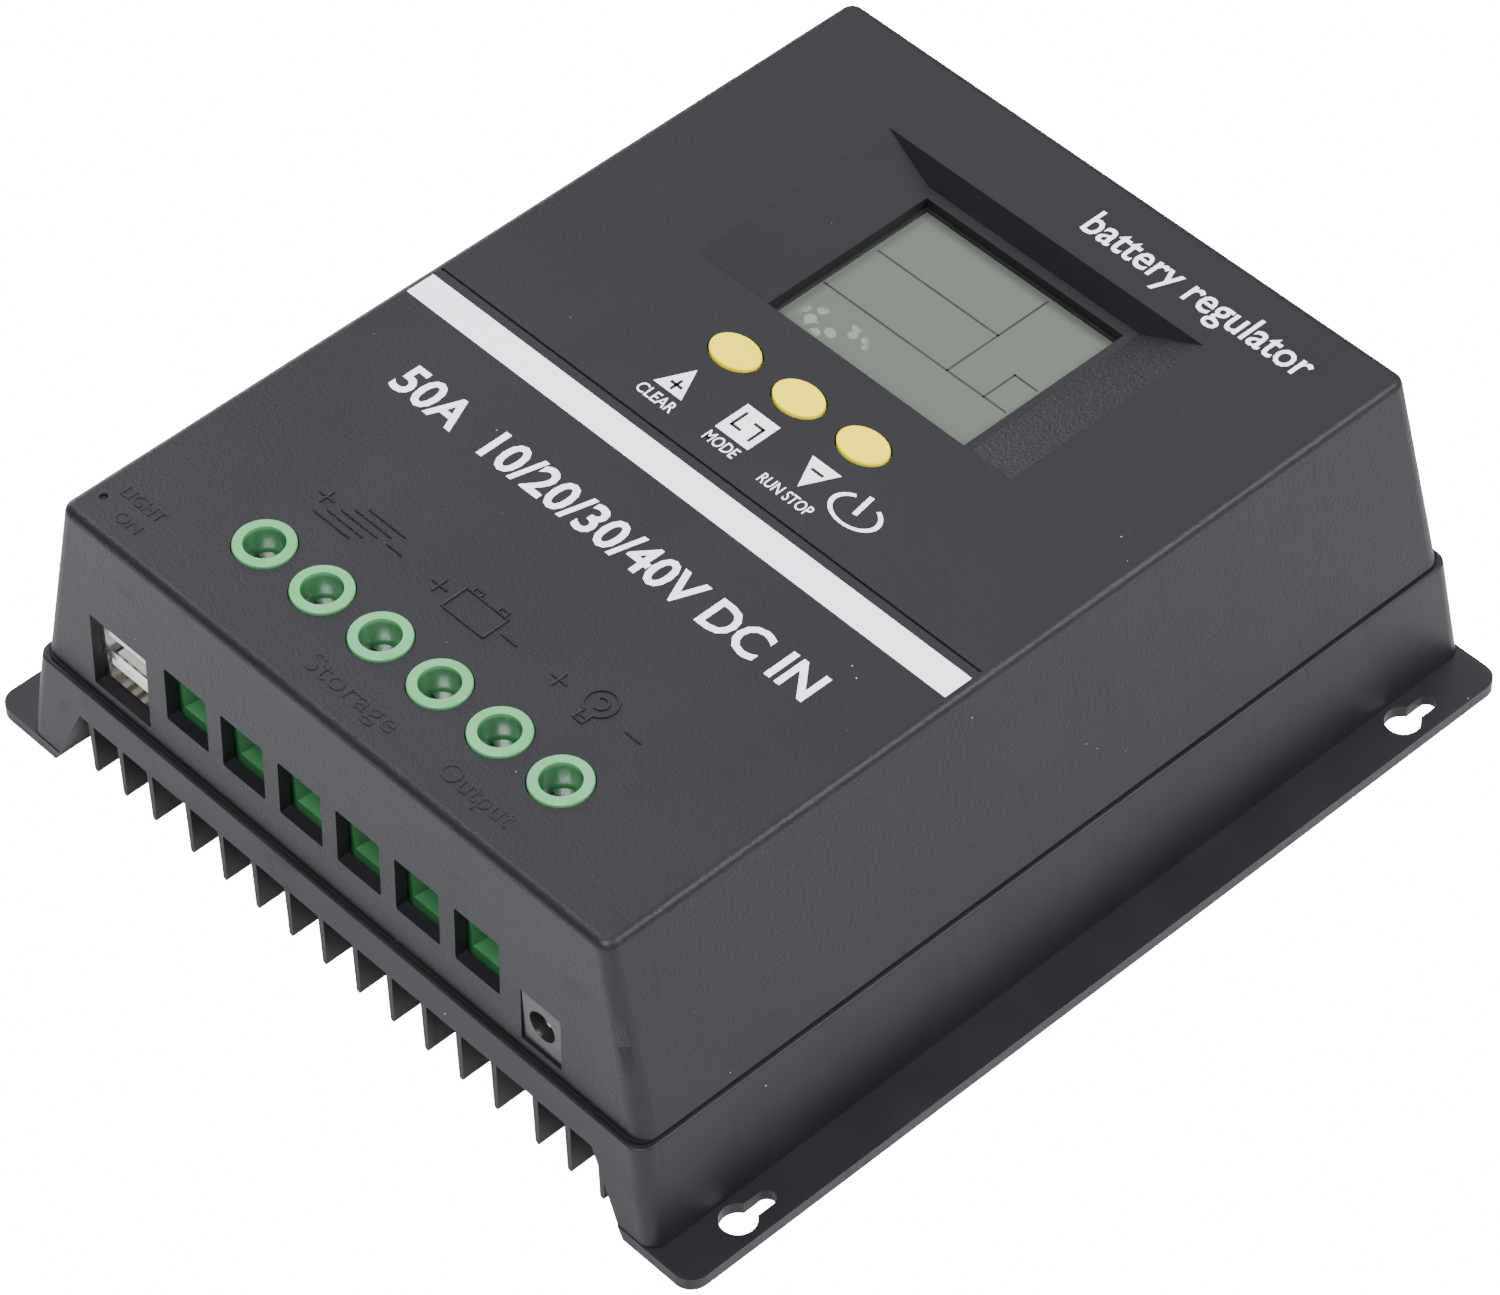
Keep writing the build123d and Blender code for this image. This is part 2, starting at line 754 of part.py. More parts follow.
def terminal_screw(x):
    """Clamp screw: it turns in place, with its head in the collar."""
    seat = terminal_top + terminal_head_lift
    head = post(x, screw_line, seat, seat + terminal_head_height, terminal_head)
    head = fillet(top_rim_edges(head), terminal_head_edge)
    shank = post(x, screw_line, busbar_top + thread_end_gap, seat, clamp_thread)
    top = seat + terminal_head_height
    half = terminal_slot_width / 2
    slot = block(x - terminal_head, x + terminal_head, screw_line - half, screw_line + half,
                 top - terminal_slot_depth, top + 1)
    return head + shank - slot


def terminal_clamp(x):
    """Rising cage: a floor under the wire, two walls and a threaded head plate."""
    half = chamber_half - clamp_play
    y0 = chamber_y0 + clamp_play
    y1 = chamber_y1 - clamp_play
    z0 = chamber_floor + clamp_floor_lift
    z1 = z0 + clamp_floor_thickness
    z2 = z1 + clamp_opening
    z3 = z2 + clamp_head_thickness
    cage = block(x - half, x + half, y0, y1, z0, z3)
    cage -= block(x - half + clamp_wall, x + half - clamp_wall, y0 - 1, y1 + 1, z1, z2)
    return cage - post(x, screw_line, z2 - 1, z3 + 1, clamp_thread + 2 * clamp_thread_play)


# ------------------------------------------------------------------ USB socket
usb_half = usb_window_width / 2 - usb_play
usb_face = front + usb_front
usb_rear = usb_face + usb_depth
usb_top = usb_window_head - usb_play
port_levels = [board_top + usb_sheet + n * usb_port_pitch for n in range(2)]


def usb_shell():
    """Sheet shell of the double socket with its two port openings."""
    shape = block(usb_x - usb_half, usb_x + usb_half, usb_face, usb_rear, board_top, usb_top)
    inner = usb_half - usb_sheet
    shape -= block(usb_x - inner, usb_x + inner, usb_face + usb_sheet, usb_rear - usb_sheet,
                   board_top + usb_sheet, usb_top - usb_sheet)
    half = usb_port_width / 2
    for level in port_levels:
        shape -= block(usb_x - half, usb_x + half, usb_face - 1, usb_face + 1, level, level + usb_port_height)
    return shape


def usb_insulator():
    """Moulded back block with the two contact tongues."""
    inner = usb_half - usb_sheet
    y1 = usb_rear - usb_sheet
    shape = block(usb_x - inner, usb_x + inner, y1 - usb_back_thickness, y1, board_top + usb_sheet,
                  usb_top - usb_sheet)
    half = usb_tongue_width / 2
    for level in port_levels:
        z0 = level + usb_tongue_level
        shape += block(usb_x - half, usb_x + half, usb_face + usb_tongue_recess, y1, z0,
                       z0 + usb_tongue_thickness)
    return shape


def usb_contacts():
    """Four spring strips under each tongue."""
    pieces = []
    half = usb_contact_width / 2
    y0 = usb_face + usb_contact_recess
    y1 = usb_rear - usb_sheet - usb_back_thickness
    for level in port_levels:
        z1 = level + usb_tongue_level
        for n in range(4):
            x = usb_x + usb_contact_pitch * (n - 1.5)
            pieces.append(block(x - half, x + half, y0, y1, z1 - usb_contact_thickness, z1))
    return pieces


# ------------------------------------------------------------------ power socket
jack_face = front + cover_step_end + jack_face_recess + cover_lean_front * (jack_top - cover_foot) / cover_rise
jack_bore_end = jack_face + jack_bore_depth
jack_rear = jack_face + jack_depth


def bar_y(x, z, y0, y1, diameter):
    """A round bar along Y."""
    return Pos(x, (y0 + y1) / 2, z) * Rot(90, 0, 0) * Cylinder(diameter / 2, y1 - y0)


def dc_jack_body():
    half = jack_width / 2
    shape = block(jack_x - half, jack_x + half, jack_face, jack_rear, board_top, jack_top)
    shape -= bar_y(jack_x, jack_axis, jack_face - 1, jack_bore_end, jack_bore)
    shape -= bar_y(jack_x, jack_axis, jack_bore_end - 1, jack_rear + 1, jack_pin)
    return shape - jack_leaf()


def dc_jack_pin():
    return bar_y(jack_x, jack_axis, jack_face + jack_pin_recess, jack_rear, jack_pin)


def jack_leaf():
    """Spring leaf in the floor of the bore."""
    half = jack_leaf_width / 2
    top = jack_axis - jack_bore / 2 + jack_leaf_thickness
    y1 = jack_bore_end - 1
    return block(jack_x - half, jack_x + half, y1 - jack_leaf_length, y1, board_top, top)


# ------------------------------------------------------------------ indicator light
def light_pipe():
    """Clear rod from the lamp on the board to the hole in the cover."""
    tip = top_height - pipe_top_drop
    shape = post(led_x, led_y, cover_ceiling - 1, tip, led_hole - 2 * pipe_play)
    shape += post(led_x, led_y, board_top, cover_ceiling - 0.3, pipe_body)
    shape += post(led_x, led_y, board_top, board_top + pipe_foot_height, pipe_foot)
    return shape - post(led_x, led_y, board_top - 1, board_top + pipe_pocket_height, pipe_pocket)


def indicator_led():
    return block(led_x - led_length / 2, led_x + led_length / 2, led_y - led_width / 2, led_y + led_width / 2,
                 board_top, board_top + led_height)


# ------------------------------------------------------------------ power transistors on the base
def clamp_bar_line():
    """Middle of the clamp bar, over the transistor bodies."""
    return mosfet_front + mosfet_body_depth / 2


pad_top = deck_top + pad_thickness
pad_front = mosfet_front - (pad_depth - mosfet_body_depth - mosfet_tab_depth) / 2
body_top = pad_top + mosfet_body_height


def insulation_pad():
    half = pad_width / 2
    shape = block(-half, half, pad_front, pad_front + pad_depth, deck_top, pad_top)
    for x in clamp_screw_xs:
        shape -= post(x, clamp_bar_line(), deck_top - 1, pad_top + 1, board_hole)
    return shape


def mosfet(x):
    """Flat power transistor: body, cooling tab, and three legs bent up through the board."""
    half = mosfet_width / 2
    y1 = mosfet_front + mosfet_body_depth
    shape = block(x - half, x + half, mosfet_front, y1, pad_top, body_top)
    tab = block(x - half, x + half, y1, y1 + mosfet_tab_depth, pad_top, pad_top + mosfet_tab_height)
    hole_y = y1 + mosfet_tab_depth / 2
    shape += tab - post(x, hole_y, pad_top - 1, pad_top + mosfet_tab_height + 1, board_hole)
    z0 = pad_top + lead_lift
    lead_y = board_back - lead_inset
    for k in (-1, 0, 1):
        lead_x = x + k * lead_pitch
        wide = lead_width / 2
        thick = lead_thickness / 2
        shape += block(lead_x - wide, lead_x + wide, lead_y - thick, mosfet_front, z0, z0 + lead_thickness)
        shape += block(lead_x - wide, lead_x + wide, lead_y - thick, lead_y + thick, z0, board_top + lead_tail)
    return shape


def mosfet_clamp_bar():
    half = abs(clamp_screw_xs[0]) + mosfet_width + clamp_bar_margin
    wide = clamp_bar_width / 2
    y = clamp_bar_line()
    shape = block(-half, half, y - wide, y + wide, body_top, body_top + clamp_bar_height)
    for x in clamp_screw_xs:
        shape -= post(x, y, body_top - 1, body_top + clamp_bar_height + 1, board_hole)
    return shape


def clamp_screw(x):
    seat = body_top + clamp_bar_height
    return slotted_screw(x, clamp_bar_line(), seat, seat - deck_top + screw_bite, screw_thread, screw_head,
                         screw_head_height, screw_slot_width, screw_slot_depth)


# ------------------------------------------------------------------ parts on the main board
def capacitor(x):
    can = post(x, capacitor_row, board_top, board_top + capacitor_height, capacitor_diameter)
    return fillet(can.edges().filter_by(GeomType.CIRCLE), capacitor_edge)


coil_core_bottom = board_top + coil_lift
coil_core_top = coil_core_bottom + coil_height


def inductor_core():
    shape = post(coil_x, coil_y, coil_core_bottom, coil_core_top, coil_outside)
    return shape - post(coil_x, coil_y, coil_core_bottom - 1, coil_core_top + 1, coil_inside)


def inductor_winding():
    """Square turns of thick wire round the core, one loop each, standing on the board."""
    pieces = []
    r0 = coil_inside / 2 - coil_play
    r1 = coil_outside / 2 + coil_play
    half = coil_wire / 2
    for n in range(coil_turns):
        turn = block(r0 - coil_wire, r1 + coil_wire, -half, half, coil_core_bottom - coil_play - coil_wire,
                     coil_core_top + coil_play + coil_wire)
        turn -= block(r0, r1, -coil_wire, coil_wire, coil_core_bottom - coil_play, coil_core_top + coil_play)
        pieces.append(Pos(coil_x, coil_y, 0) * Rot(0, 0, 360 * n / coil_turns) * turn)
    return pieces


def shunt_resistor(x):
    """Bridge of resistance strip standing on the board."""
    half = shunt_span / 2
    wide = shunt_width / 2
    shape = block(x - half, x + half, shunt_line() - wide, shunt_line() + wide, board_top,
                  board_top + shunt_rise)
    return shape - block(x - half + shunt_sheet, x + half - shunt_sheet, shunt_line() - wide - 1,
                         shunt_line() + wide + 1, board_top - 1, board_top + shunt_rise - shunt_sheet)


def shunt_line():
    """Row just behind the terminal blocks."""
    return terminal_rear + shunt_width


fuse_axis = board_top + fuse_axis_lift


def fuse_link():
    bar = Pos(fuse_x, fuse_y, fuse_axis) * Rot(90, 0, 0) * Cylinder(fuse_diameter / 2, fuse_length)
    return bar


def fuse_clip(y):
    """Spring clip that holds one end of the fuse."""
    half = fuse_diameter / 2 + fuse_clip_sheet
    wide = fuse_clip_depth / 2
    shape = block(fuse_x - half, fuse_x + half, y - wide, y + wide, board_top, fuse_axis + fuse_clip_sheet)
    shape -= bar_y(fuse_x, fuse_axis, y - wide - 1, y + wide + 1, fuse_diameter)
    return shape


def fuse_clips():
    shift = fuse_length / 2 - fuse_clip_depth / 2
    return [fuse_clip(fuse_y - shift), fuse_clip(fuse_y + shift)]


def controller_chip():
    half = chip_side / 2
    return block(chip_x - half, chip_x + half, chip_y - half, chip_y + half, board_top, board_top + chip_height)


def buzzer():
    shape = post(buzzer_x, buzzer_y, board_top, board_top + buzzer_height, buzzer_diameter)
    return shape - post(buzzer_x, buzzer_y, board_top + buzzer_height / 2, board_top + buzzer_height + 1,
                        buzzer_port)


# ------------------------------------------------------------------ link between the boards
def link_places():
    return [(link_x, link_y + link_pitch * (n - (link_pins - 1) / 2)) for n in range(link_pins)]


def link_outline(z0, z1):
    half = link_socket_width / 2
    reach = link_pitch * link_pins / 2
    return block(link_x - half, link_x + half, link_y - reach, link_y + reach, z0, z1)


def link_socket():
    top = board_top + link_socket_height
    shape = link_outline(board_top, top)
    for x, y in link_places():
        shape -= post(x, y, top - link_pin_reach - 1, top + 1, link_socket_bore)
    return shape


def link_pin_strip():
    """Pins in a moulded carrier, from the display board down into the socket."""
    carrier = link_outline(display_bottom - link_carrier_height, display_bottom)
    half = link_pin_side / 2
    low = board_top + link_socket_height - link_pin_reach
    for x, y in link_places():
        carrier += block(x - half, x + half, y - half, y + half, low, display_top + lead_tail)
    return carrier


# ------------------------------------------------------------------ write every node
os.makedirs("parts", exist_ok=True)
save("base_heatsink", [base_heatsink()])
save("seal_gasket", [seal_gasket()])
save("top_cover", [top_cover()])
save("stripe_inlay", [stripe_body()])
save("cover_screws", [cover_screw(x, y) for x, y in cover_screw_spots])
save("main_board", [main_board()])
save("board_standoffs", [board_standoff(x, y) for x, y in standoff_spots])
save("board_screws", [board_screw(x, y) for x, y in standoff_spots])
save("terminal_housings", [terminal_housing(x) for x in terminal_xs])
save("terminal_busbars", [terminal_busbar(x) for x in terminal_xs])
for number, place in enumerate(terminal_xs, start=1):
    save(f"terminal_screw_{number}", [terminal_screw(place)])
    save(f"terminal_clamp_{number}", [terminal_clamp(place)])
save("usb_shell", [usb_shell()])
save("usb_insulator", [usb_insulator()])
save("usb_contacts", usb_contacts())
save("dc_jack_body", [dc_jack_body()])
save("dc_jack_pin", [dc_jack_pin()])
save("dc_jack_leaf", [jack_leaf()])
save("light_pipe", [light_pipe()])
save("indicator_led", [indicator_led()])
save("display_board", [display_board()])
save("display_board_screws", [display_board_screw(x, y) for x, y in display_spots])
save("lcd_glass", [lcd_glass()])
save("lcd_bezel", [lcd_bezel()])
save("backlight_panel", [backlight_panel()])
save("lcd_contact_strip", [lcd_contact_strip()])
for side, place in zip(side_names, button_xs):
    save(f"button_cap_{side}", [button_cap(place)])
    save(f"switch_plunger_{side}", [switch_plunger(place)])
save("tact_switches", [tact_switch(x) for x in button_xs])
save("mosfets", [mosfet(x) for x in mosfet_xs])
save("insulation_pad", [insulation_pad()])
save("mosfet_clamp_bar", [mosfet_clamp_bar()])
save("clamp_screws", [clamp_screw(x) for x in clamp_screw_xs])
save("capacitors", [capacitor(capacitor_shift + capacitor_pitch * n) for n in range(2)])
save("inductor_core", [inductor_core()])
save("inductor_winding", inductor_winding())
save("shunt_resistors", [shunt_resistor(side * shunt_x) for side in (-1, 1)])
save("fuse_link", [fuse_link()])
save("fuse_clips", fuse_clips())
save("controller_chip", [controller_chip()])
save("buzzer", [buzzer()])
save("link_socket", [link_socket()])
save("link_pin_strip", [link_pin_strip()])
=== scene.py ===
# %% [markdown]
# # A charge controller, dressed around its CAD frame
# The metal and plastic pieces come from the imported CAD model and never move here. This script
# gives each of them a finish, and models what the CAD leaves out: printed lettering and symbols,
# raised marks in the cover, the lines on the display, and the studio it stands in.

# %% Load the fixed frame
import json
import math

import bpy
from mathutils import Matrix, Vector


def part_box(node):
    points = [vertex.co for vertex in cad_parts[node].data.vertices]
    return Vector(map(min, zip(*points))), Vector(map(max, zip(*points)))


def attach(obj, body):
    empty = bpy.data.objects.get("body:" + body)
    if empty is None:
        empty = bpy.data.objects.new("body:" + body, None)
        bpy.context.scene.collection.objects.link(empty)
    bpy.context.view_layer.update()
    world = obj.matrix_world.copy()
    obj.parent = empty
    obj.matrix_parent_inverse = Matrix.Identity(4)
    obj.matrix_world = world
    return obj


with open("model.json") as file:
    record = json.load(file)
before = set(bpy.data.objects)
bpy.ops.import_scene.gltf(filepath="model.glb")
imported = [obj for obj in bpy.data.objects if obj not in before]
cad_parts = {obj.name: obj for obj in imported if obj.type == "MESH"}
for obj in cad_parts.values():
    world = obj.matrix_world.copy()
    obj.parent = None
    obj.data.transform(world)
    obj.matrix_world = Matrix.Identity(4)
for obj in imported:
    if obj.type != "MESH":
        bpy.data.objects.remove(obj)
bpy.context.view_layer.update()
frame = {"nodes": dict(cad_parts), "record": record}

# %% [markdown]
# ## Places read from the frame
# Every print and mark is placed from the piece it belongs to, so it follows the CAD when a
# size changes. Lengths are in metres, so one millimetre gets a name.

# %% Measure the cover, the buttons and the terminals
mm = 0.001


def middle(node):
    """Centre of a CAD node's box."""
    low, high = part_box(node)
    return (Vector(low) + Vector(high)) / 2


cover_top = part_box("stripe_inlay")[1][2]
glass_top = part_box("lcd_glass")[1][2]
button_places = [middle(f"button_cap_{side}") for side in ("left", "middle", "right")]
print("cover top at", round(cover_top / mm, 2), "mm")

# %% [markdown]
# ## Helpers for new pieces
# A finished piece has its place in its mesh and its object at the origin, as the CAD nodes do.
# Then a pattern on Object coordinates runs across neighbours without a jump.

# %% Small tools for selecting and finishing
def deselect():
    """Leave edit mode and select nothing."""
    if bpy.context.object and bpy.context.object.mode != "OBJECT":
        bpy.ops.object.mode_set(mode="OBJECT")
    bpy.ops.object.select_all(action="DESELECT")


def pick(pieces):
    """Select these objects, the first one active."""
    deselect()
    for piece in pieces:
        piece.select_set(True)
    bpy.context.view_layer.objects.active = pieces[0]


def settle(pieces, name, body="housing"):
    """Join the pieces, write their place into the mesh, and let them ride on a body."""
    pick(pieces)
    if len(pieces) > 1:
        bpy.ops.object.join()
    piece = bpy.context.object
    bpy.ops.object.transform_apply(location=True, rotation=True, scale=True)
    piece.name = name
    piece.data.name = name
    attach(piece, body)
    print(name, "has", len(piece.data.polygons), "faces")
    return piece


def bar(start, end, width, low, high):
    """A flat bar with bevelled ends from one point to another, in the plane of the cover."""
    start, end = Vector(start), Vector(end)
    run = end - start
    bpy.ops.mesh.primitive_cube_add(size=1)
    piece = bpy.context.object
    piece.scale = (run.length + width, width, high - low)
    bpy.ops.object.transform_apply(location=False, rotation=False, scale=True)
    bevel = piece.modifiers.new("round ends", "BEVEL")
    bevel.width = min(width * 0.35, (high - low) * 0.45)
    bevel.segments = 2
    bpy.ops.object.modifier_apply(modifier=bevel.name)
    piece.rotation_euler.z = math.atan2(run.y, run.x)
    piece.location = ((start.x + end.x) / 2, (start.y + end.y) / 2, (low + high) / 2)
    return piece


def outline(points, width, low, high, closed=True):
    """Bars along a chain of points."""
    ends = points[1:] + points[:1] if closed else points[1:]
    return [bar(a, b, width, low, high) for a, b in zip(points, ends)]


def raise_face(low, high):
    """Give the active flat shape its thickness by extruding it upwards, then close and orient it."""
    bpy.ops.object.mode_set(mode="EDIT")
    bpy.ops.mesh.select_all(action="SELECT")
    bpy.ops.mesh.extrude_region_move(TRANSFORM_OT_translate={"value": (0, 0, high - low)})
    bpy.ops.mesh.select_all(action="SELECT")
    bpy.ops.mesh.normals_make_consistent(inside=False)
    bpy.ops.object.mode_set(mode="OBJECT")


def block(centre, width, depth, low, high):
    """A rectangular plate."""
    bpy.ops.mesh.primitive_plane_add(size=1, location=(centre[0], centre[1], low))
    bpy.context.object.scale = (width, depth, 1)
    bpy.ops.object.transform_apply(location=False, rotation=False, scale=True)
    raise_face(low, high)
    return bpy.context.object


def triangle(centre, width, depth, low, high, point_up=True):
    """A three-cornered plate that points along +Y, or along -Y."""
    turn = 0 if point_up else math.pi
    place = (centre[0], centre[1], low)
    bpy.ops.mesh.primitive_circle_add(vertices=3, radius=1, fill_type="NGON", location=place)
    piece = bpy.context.object
    piece.scale = (width / math.sqrt(3), depth / 1.5, 1)
    bpy.ops.object.transform_apply(location=False, rotation=False, scale=True)
    piece.rotation_euler.z = turn
    bpy.ops.object.transform_apply(location=False, rotation=True, scale=False)
    raise_face(low, high)
    return piece


def arc(centre, radius, width, low, high, start, sweep, steps=24, squash=1.0):
    """A flat curved band: a small upright quad spun clockwise about the centre, then squashed along Y."""
    bpy.ops.mesh.primitive_plane_add(size=1)
    piece = bpy.context.object
    piece.scale = (width, high - low, 1)
    bpy.ops.object.transform_apply(location=False, rotation=False, scale=True)
    piece.rotation_euler = (math.pi / 2, 0, start)
    piece.location = (radius * math.cos(start), radius * math.sin(start), (low + high) / 2)
    bpy.ops.object.transform_apply(location=True, rotation=True, scale=False)
    bpy.ops.object.mode_set(mode="EDIT")
    bpy.ops.mesh.select_all(action="SELECT")
    bpy.ops.mesh.spin(steps=steps, angle=sweep, center=(0, 0, 0), axis=(0, 0, 1))
    bpy.ops.mesh.select_all(action="SELECT")
    bpy.ops.mesh.normals_make_consistent(inside=False)
    bpy.ops.object.mode_set(mode="OBJECT")
    piece.scale.y = squash
    piece.location = (centre[0], centre[1], 0)
    return piece


def lettering(words, left, right, foot, cap_height, low, high, weight=0.0):
    """Words as a raised mesh, stretched to run from left to right on a foot line."""
    bpy.ops.object.text_add()
    piece = bpy.context.object
    piece.data.body = words
    piece.data.offset = weight
    piece.data.extrude = 0.5
    piece.data.resolution_u = 3
    bpy.ops.object.convert(target="MESH")
    piece = bpy.context.object
    first = min(corner[0] for corner in piece.bound_box)
    wide = piece.dimensions.x
    stretch = (right - left) / wide
    piece.scale = (stretch, cap_height / 0.7, high - low)
    piece.location = (left - first * stretch, foot, (low + high) / 2)
    bpy.ops.object.transform_apply(location=True, rotation=False, scale=True)
    bpy.ops.object.mode_set(mode="EDIT")
    bpy.ops.mesh.select_all(action="SELECT")
    bpy.ops.mesh.remove_doubles(threshold=0.0000005)
    bpy.ops.mesh.normals_make_consistent(inside=False)
    bpy.ops.object.mode_set(mode="OBJECT")
    return piece


# %% [markdown]
# ## Printed lettering
# The real cover is screen printed in white. Ink has almost no height, so each word is text made
# into a mesh a few hundredths of a millimetre thick and laid on the cover's top face. A texture
# could do it too, but a mesh keeps its sharp edge at any distance.

# %% Print the title, the rating line and the button captions
deselect()
ink_low = cover_top + 0.002 * mm
ink_high = cover_top + 0.035 * mm
row_y = button_places[0].y - 0.3 * mm
title = lettering("battery regulator", 3 * mm, 54 * mm, 75.2 * mm, 6.0 * mm, ink_low, ink_high, 0.01)
title_print = settle([title], "title_print")
rating = lettering("50A  10/20/30/40V DC IN", -50 * mm, 49.5 * mm, -33.2 * mm, 6.6 * mm, ink_low, ink_high,
                   0.022)
rating_print = settle([rating], "rating_print")
captions = [lettering("CLEAR", -20.9 * mm, -12.4 * mm, row_y - 17.4 * mm, 2.4 * mm, ink_low, ink_high, 0.008),
            lettering("MODE", -4.8 * mm, 2.4 * mm, row_y - 17.2 * mm, 2.4 * mm, ink_low, ink_high, 0.008),
            lettering("RUN STOP", 8.6 * mm, 20.4 * mm, row_y - 17.5 * mm, 2.3 * mm, ink_low, ink_high, 0.008)]
caption_print = settle(captions, "caption_print")

# %% [markdown]
# ## Button symbols
# Beside the captions are an up arrow, a page-change square, a down arrow and a round on-off mark.
# Each is a thin plate, with its inner sign in the cover's colour a hair above the ink.

# %% Print the symbols
up_arrow = triangle((-16.6 * mm, row_y - 11.6 * mm), 6.8 * mm, 6.8 * mm, ink_low, ink_high)
square = block((-1.1 * mm, row_y - 10.2 * mm), 7.8 * mm, 7.4 * mm, ink_low, ink_high)
down_arrow = triangle((14.5 * mm, row_y - 9.3 * mm), 6.8 * mm, 6.7 * mm, ink_low, ink_high, point_up=False)
ring_centre = (25.3 * mm, row_y - 11.1 * mm)
ring_start = math.radians(58)
ring_sweep = math.radians(296)
ring_squash = 0.66
on_ring = arc(ring_centre, 4.9 * mm, 0.95 * mm, ink_low, ink_high, ring_start, ring_sweep, 36, ring_squash)
on_bar = bar((25.5 * mm, row_y - 11.1 * mm), (24.9 * mm, row_y - 7.3 * mm), 1.0 * mm, ink_low, ink_high)
symbol_print = settle([up_arrow, square, down_arrow, on_ring, on_bar], "symbol_print")

sign_high = ink_high + 0.02 * mm
thin = 0.6 * mm
plus_y = row_y - 11.9 * mm
signs = [bar((-17.6 * mm, plus_y), (-15.4 * mm, plus_y), thin, ink_high, sign_high),
         bar((-16.5 * mm, plus_y - 1.1 * mm), (-16.5 * mm, plus_y + 1.1 * mm), thin, ink_high, sign_high),
         bar((13.4 * mm, row_y - 9.3 * mm), (15.6 * mm, row_y - 9.3 * mm), thin, ink_high, sign_high)]
left_hook = [(-3.5 * mm, row_y - 8.2 * mm), (-3.5 * mm, row_y - 11.6 * mm), (-1.6 * mm, row_y - 11.6 * mm)]
right_hook = [(-0.6 * mm, row_y - 8.9 * mm), (1.3 * mm, row_y - 8.9 * mm), (1.3 * mm, row_y - 12.2 * mm)]
for hook in (left_hook, right_hook):
    signs += outline(hook, thin, ink_high, sign_high, closed=False)
sign_print = settle(signs, "sign_print")

# %% [markdown]
# ## Raised marks
# The terminal side of the cover carries moulded marks, not ink: a solar panel, a battery and a
# lamp with their plus and minus signs, and short words. They have the cover's own colour and
# show only by their shadows, so they are thin raised strokes with bevelled edges.

# %% Mould the marks into the cover
mark_low = cover_top - 0.05 * mm
mark_high = cover_top + 0.25 * mm
stroke = 0.36 * mm
plus_row = -57.5


def mark(points, closed=True):
    """Raised strokes through points given in millimetres."""
    return outline([(x * mm, y * mm) for x, y in points], stroke, mark_low, mark_high, closed)


panel_marks = []
for row in range(5):
    y = -61.0 + 1.64 * row
    start = -36.2 + 1.6 * row
    cells = [(0.0, 8.7)] if row == 0 else [(0.0, 1.7), (2.3, 4.0), (4.6, 6.3), (6.9, 8.6)]
    for first, last in cells:
        panel_marks += mark([(start + first, y), (start + last, y)], False)
battery_marks = mark([(-5.6, -60.2), (4.3, -60.2), (4.3, -54.7), (-5.6, -54.7)])
for post_x in (-3.6, 2.45):
    battery_marks += mark([(post_x - 0.9, -54.7), (post_x - 0.9, -53.6), (post_x + 0.9, -53.6),
                           (post_x + 0.9, -54.7)], False)
poles = []
for plus_x, minus_x in ((-36.9, -20.3), (-9.2, 7.6), (19.5, 36.8)):
    poles += mark([(plus_x - 1.7, plus_row), (plus_x + 1.7, plus_row)], False)
    poles += mark([(plus_x, plus_row - 1.5), (plus_x, plus_row + 1.5)], False)
    poles += mark([(minus_x - 1.7, plus_row), (minus_x + 1.7, plus_row)], False)
lamp_marks = [arc((28.0 * mm, -56.2 * mm), 2.9 * mm, stroke, mark_low, mark_high, math.radians(-110),
                  math.radians(320), 32),
              arc((28.0 * mm, -56.2 * mm), 1.3 * mm, stroke, mark_low, mark_high, math.radians(150),
                  math.radians(250), 16)]
lamp_marks += mark([(27.0, -59.0), (26.8, -61.2), (28.9, -61.2), (29.0, -59.0)], False)
lamp_marks += mark([(26.9, -60.1), (28.9, -60.1)], False)
word_high = cover_top + 0.14 * mm
words = [lettering("Storage", -11.5 * mm, 9.4 * mm, -84.6 * mm, 4.0 * mm, mark_low, word_high, -0.012),
         lettering("Output", 20.7 * mm, 37.0 * mm, -84.6 * mm, 3.8 * mm, mark_low, word_high, -0.012),
         lettering("LIGHT", -61.0 * mm, -51.4 * mm, -81.2 * mm, 2.5 * mm, mark_low, word_high, -0.012),
         lettering("ON", -57.6 * mm, -52.2 * mm, -85.6 * mm, 2.5 * mm, mark_low, word_high, -0.012)]
all_marks = panel_marks + battery_marks + poles + lamp_marks + words
raised_marks = settle(all_marks, "raised_marks")

# %% [markdown]
# ## Lines on the display
# With the power off, the display still shows the thin dark borders between its fields. They are
# flat strips on the glass.

# %% Draw the display's fields
line_low = glass_top + 0.002 * mm
line_high = glass_top + 0.02 * mm


def field_line(x0, y0, x1, y1, width=0.42):
    return bar((x0 * mm, y0 * mm), (x1 * mm, y1 * mm), width * mm, line_low, line_high)


field_lines = [field_line(-21.8, 52.15, 7.0, 52.15), field_line(-22.6, 40.2, 20.8, 40.2),
               field_line(7.0, 40.2, 7.0, 63.8), field_line(15.7, 40.2, 15.7, 47.5),
               field_line(15.7, 47.5, 20.9, 47.5)]
display_lines = settle(field_lines, "display_lines")

# %% [markdown]
# ## Surface effects shared by the finishes
# Three groups are used again and again. Grain is the fine texture of a mould or a coat, with its
# height for a bump and a soft mottle for colour. Dust is a scatter of pale specks. Rub is a set
# of faint directional scuffs that change the gloss.

